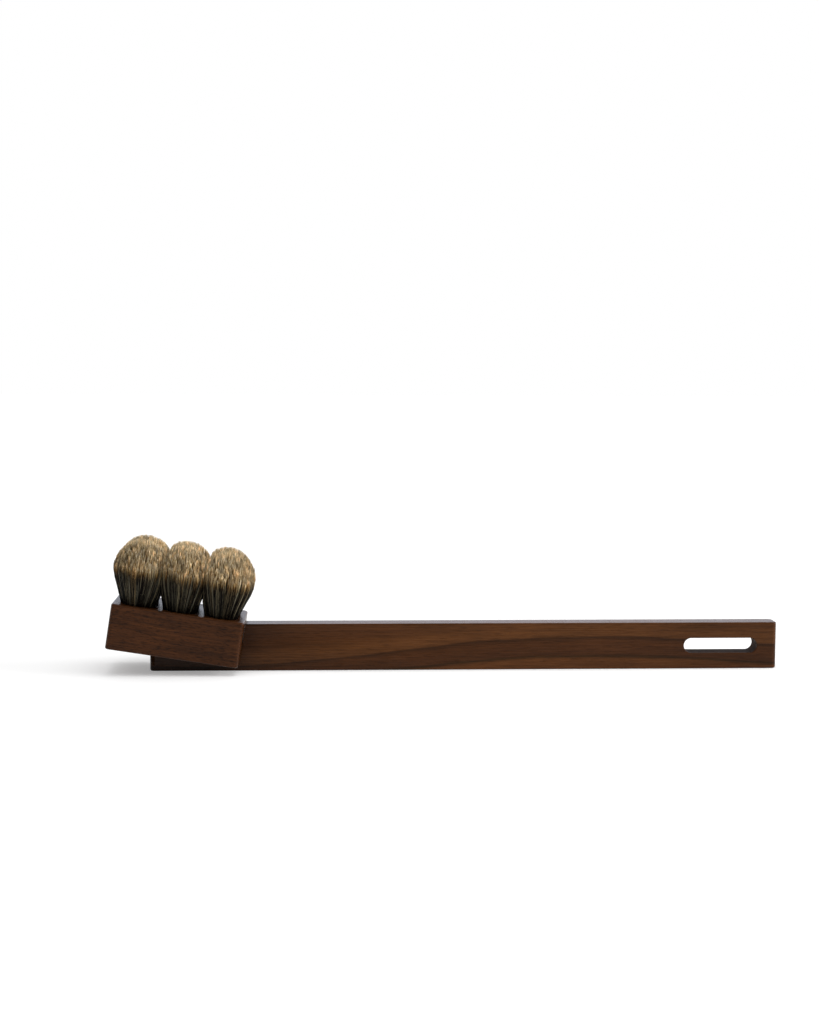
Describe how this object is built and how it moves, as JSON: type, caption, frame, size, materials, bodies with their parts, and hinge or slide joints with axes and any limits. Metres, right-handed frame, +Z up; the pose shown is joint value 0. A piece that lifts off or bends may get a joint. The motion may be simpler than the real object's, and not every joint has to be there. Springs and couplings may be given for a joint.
{
  "type": "long-handled clothes brush",
  "caption": "Long straight walnut bar handle with a hanging slot, and a tilted rectangular walnut head that carries round soft hair tufts standing up from it.",
  "frame": {"origin": "middle of the handle's flat underside, on which the brush stands", "axes": "+X along the handle towards the hanging slot, +Y towards the back row of tufts, +Z up; the head is at the -X end"},
  "size_m": [0.4002, 0.0586, 0.0796],
  "materials": {
    "handle_walnut": "dark walnut, planed, sanded and oiled, open pores and long wavy figure",
    "head_walnut": "darker red-brown walnut, planed, sanded and oiled, fine speckled pores along its length",
    "dowel_beech": "turned raw beech, hidden inside the joint",
    "hair": "natural animal hair, near black at the root, brown above it and cream-gold at the tip",
    "binding_thread": "waxed linen thread, hidden in the socket",
    "setting_resin": "poured amber setting resin, hidden in the socket"
  },
  "bodies": {
    "root": {"handle": "handle_walnut", "head_block": "head_walnut", "dowel_middle": "dowel_beech", "dowel_heel": "dowel_beech", "hair_tuft_front_toe": "hair", "hair_tuft_front_middle": "hair", "hair_tuft_front_heel": "hair", "hair_tuft_back_toe": "hair", "hair_tuft_back_middle": "hair", "hair_tuft_back_heel": "hair", "root_binding_front_toe": "binding_thread", "root_binding_front_middle": "binding_thread", "root_binding_front_heel": "binding_thread", "root_binding_back_toe": "binding_thread", "root_binding_back_middle": "binding_thread", "root_binding_back_heel": "binding_thread", "root_plug_front_toe": "setting_resin", "root_plug_front_middle": "setting_resin", "root_plug_front_heel": "setting_resin", "root_plug_back_toe": "setting_resin", "root_plug_back_middle": "setting_resin", "root_plug_back_heel": "setting_resin"}
  },
  "joints": []
}
